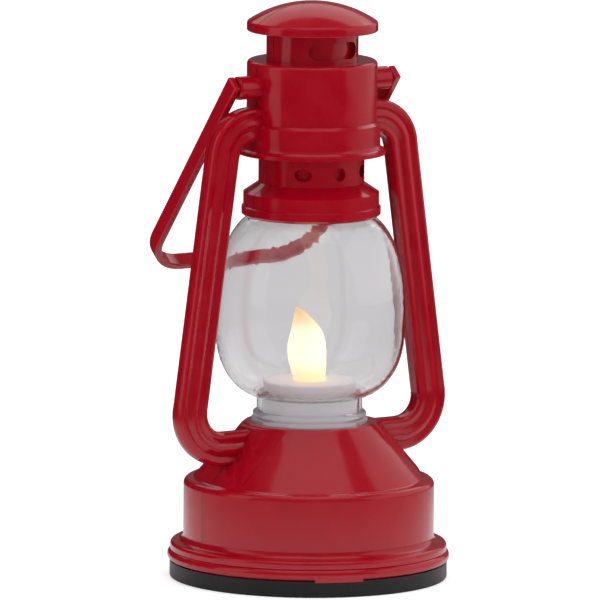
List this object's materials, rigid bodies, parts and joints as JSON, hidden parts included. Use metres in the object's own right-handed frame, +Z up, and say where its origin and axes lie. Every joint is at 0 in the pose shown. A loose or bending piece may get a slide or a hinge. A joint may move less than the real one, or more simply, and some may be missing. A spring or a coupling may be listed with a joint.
{
  "type": "battery lantern",
  "caption": "Small battery lantern styled as a hurricane lamp: ribbed side tubes, clear globe over a flame-shaped light, domed cap, swinging carrying bail and a black base tray.",
  "frame": {"origin": "centre of the underside of the base, on the surface it stands on", "axes": "+Z up; X runs through both side tubes; -Y is the front, and the bail hangs back towards +Y"},
  "size_m": [0.095, 0.0934, 0.1741],
  "materials": {
    "red_plastic": "glossy injection-moulded plastic, red",
    "black_plastic": "satin moulded plastic, black",
    "clear_plastic": "clear moulded plastic",
    "white_plastic": "white moulded plastic",
    "flame_plastic": "translucent ivory plastic, lit from inside",
    "steel": "plated steel",
    "led_epoxy": "warm yellow epoxy",
    "circuit_board": "green board",
    "wire_insulation": "wire insulation",
    "cell_sleeve": "plain printed sleeve, no marks",
    "switch_housing": "black nylon"
  },
  "bodies": {
    "lamp": {"front_shell": "red_plastic", "back_shell": "red_plastic", "globe": "clear_plastic", "candle_cup": "white_plastic", "flame": "flame_plastic", "flame_clip": "steel", "led": "led_epoxy", "led_board": "circuit_board", "board_screws": "steel", "led_leads": "wire_insulation", "base_tray": "black_plastic", "base_screws": "steel", "shell_screws": "steel", "battery_1": "cell_sleeve", "battery_2": "cell_sleeve", "battery_3": "cell_sleeve", "battery_springs": "steel", "battery_contacts": "steel", "switch_body": "switch_housing"},
    "bail": {"bail": "red_plastic"},
    "battery_door": {"battery_door": "black_plastic", "battery_door_screw": "steel"},
    "switch_slider": {"switch_slider": "white_plastic"}
  },
  "joints": [
    {"name": "bail_swing", "type": "hinge", "parent": "lamp", "child": "bail", "pos_m": [0, 0, 0.1494], "axis": [1, 0, 0], "range_deg": [0, 281.2]},
    {"name": "door_hinge", "type": "hinge", "parent": "lamp", "child": "battery_door", "pos_m": [-0.02625, 0, 0.00275], "axis": [0, 1, 0], "range_deg": [0, 100]},
    {"name": "switch_slide", "type": "slide", "parent": "lamp", "child": "switch_slider", "axis": [1, 0, 0], "range_m": [0, 0.0036]}
  ]
}
